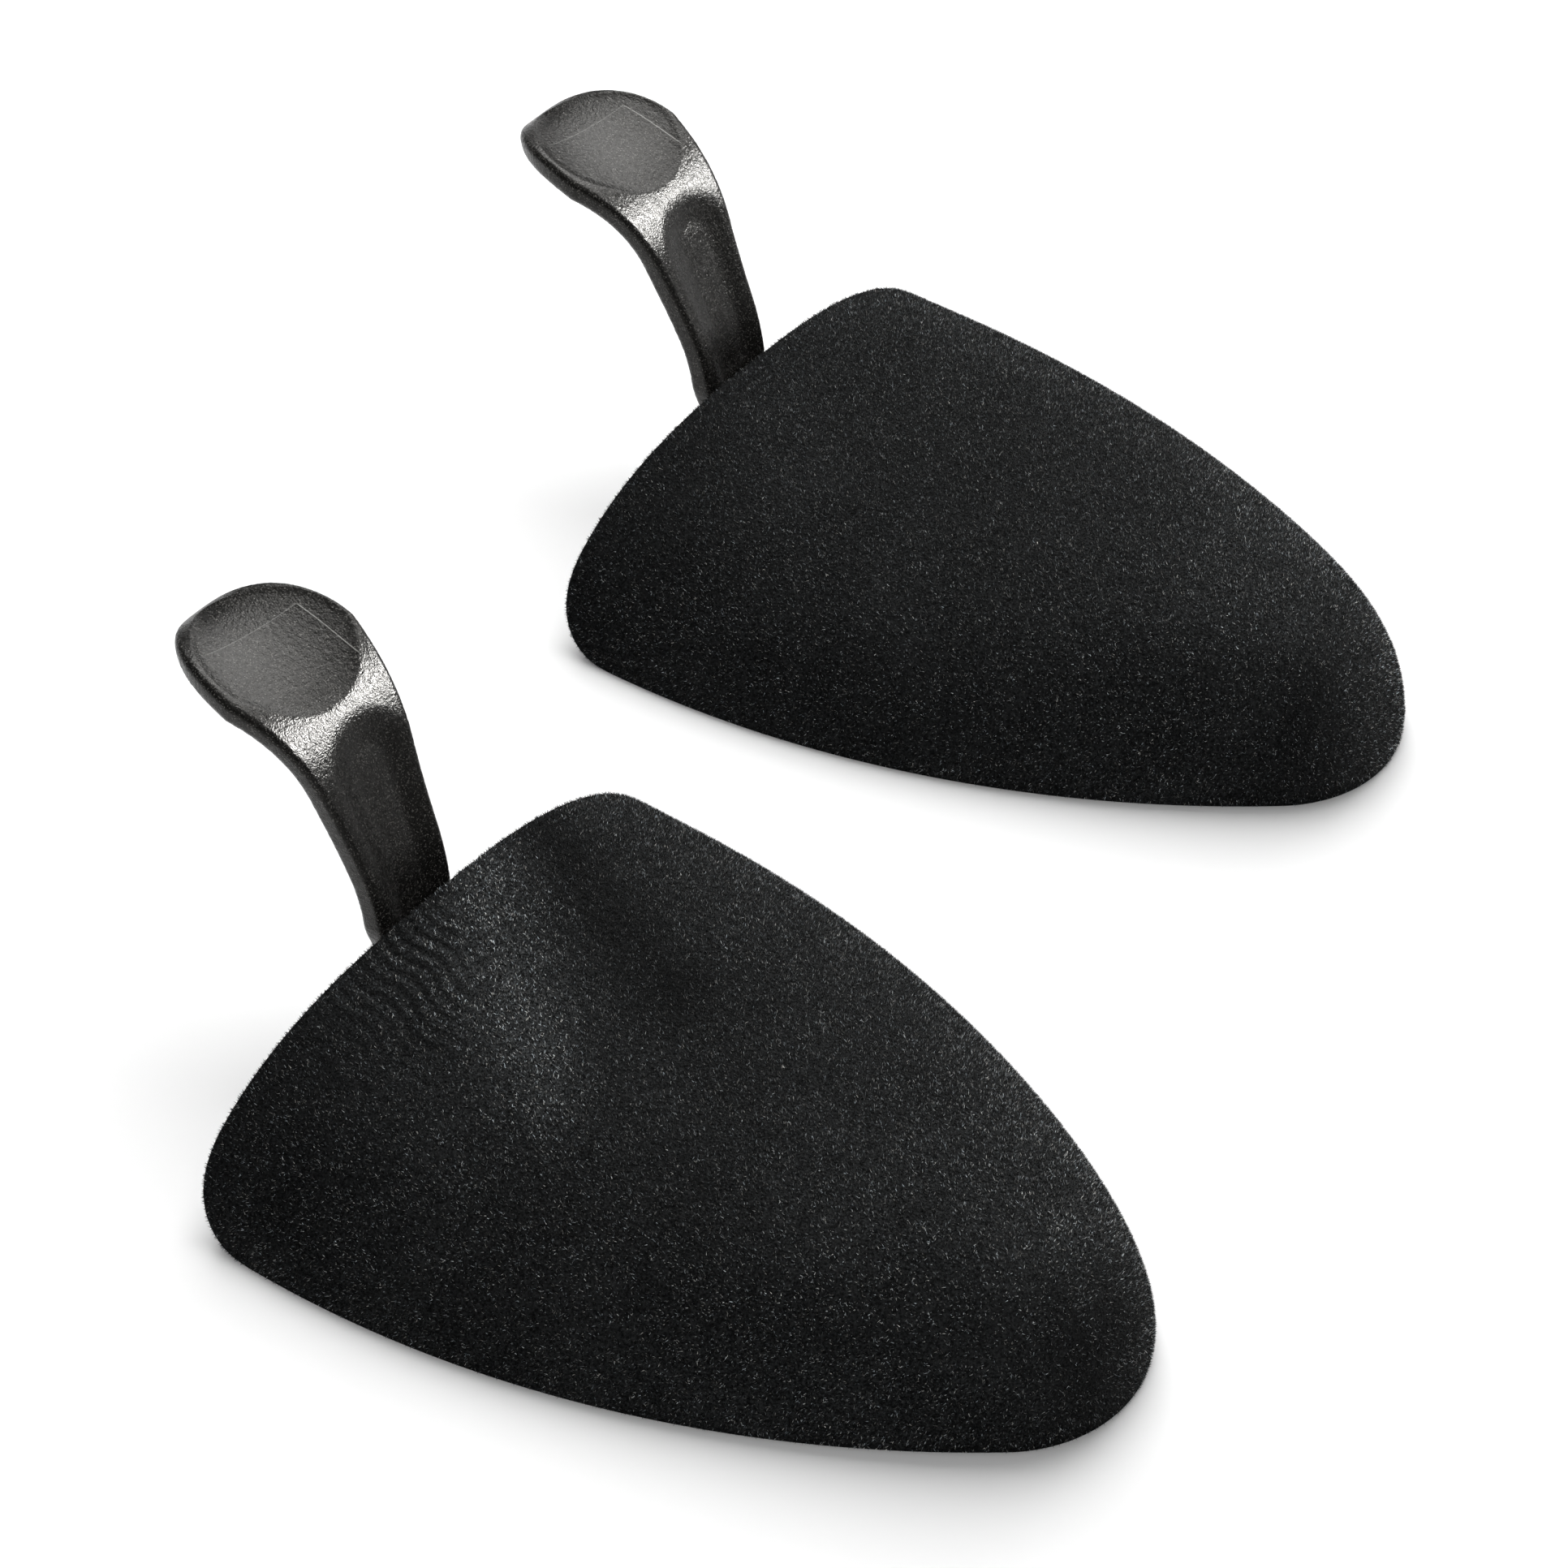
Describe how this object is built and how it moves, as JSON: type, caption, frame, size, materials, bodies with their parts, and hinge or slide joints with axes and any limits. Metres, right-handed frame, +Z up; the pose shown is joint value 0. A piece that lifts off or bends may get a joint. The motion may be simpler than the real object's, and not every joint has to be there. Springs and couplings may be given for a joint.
{
  "type": "shoe shapers",
  "caption": "Flocked toe formers for shoes: an arched, open-backed toe shell with a hinged goose-neck spoon handle under its rear edge.",
  "frame": {"origin": "centre of the pair's footprint, on the table", "axes": "+Z up, +X towards the toes, +Y from the right shaper to the left one"},
  "size_m": [0.1483, 0.1696, 0.0432],
  "materials": {
    "flock": "short-pile flock",
    "shell": "plain moulded",
    "handle": "fine-grained satin",
    "steel": "bright",
    "nylon": "natural"
  },
  "bodies": {
    "shells": {"right_flock_cover": "flock", "right_toe_shell": "shell", "right_hinge_pin": "steel", "right_friction_washer_left": "nylon", "right_friction_washer_right": "nylon", "right_pin_cap": "steel", "left_flock_cover": "flock", "left_toe_shell": "shell", "left_hinge_pin": "steel", "left_friction_washer_left": "nylon", "left_friction_washer_right": "nylon", "left_pin_cap": "steel"},
    "right_handle": {"right_handle": "handle"},
    "left_handle": {"left_handle": "handle"}
  },
  "joints": [
    {"name": "right_handle_hinge", "type": "hinge", "parent": "shells", "child": "right_handle", "pos_m": [-0.00971, -0.0467, 0.0066], "axis": [0, -1, 0], "range_deg": [0, 40]},
    {"name": "left_handle_hinge", "type": "hinge", "parent": "shells", "child": "left_handle", "pos_m": [-0.03911, 0.04676, 0.0066], "axis": [0.014, -0.9999, 0], "range_deg": [-3, 37]}
  ]
}
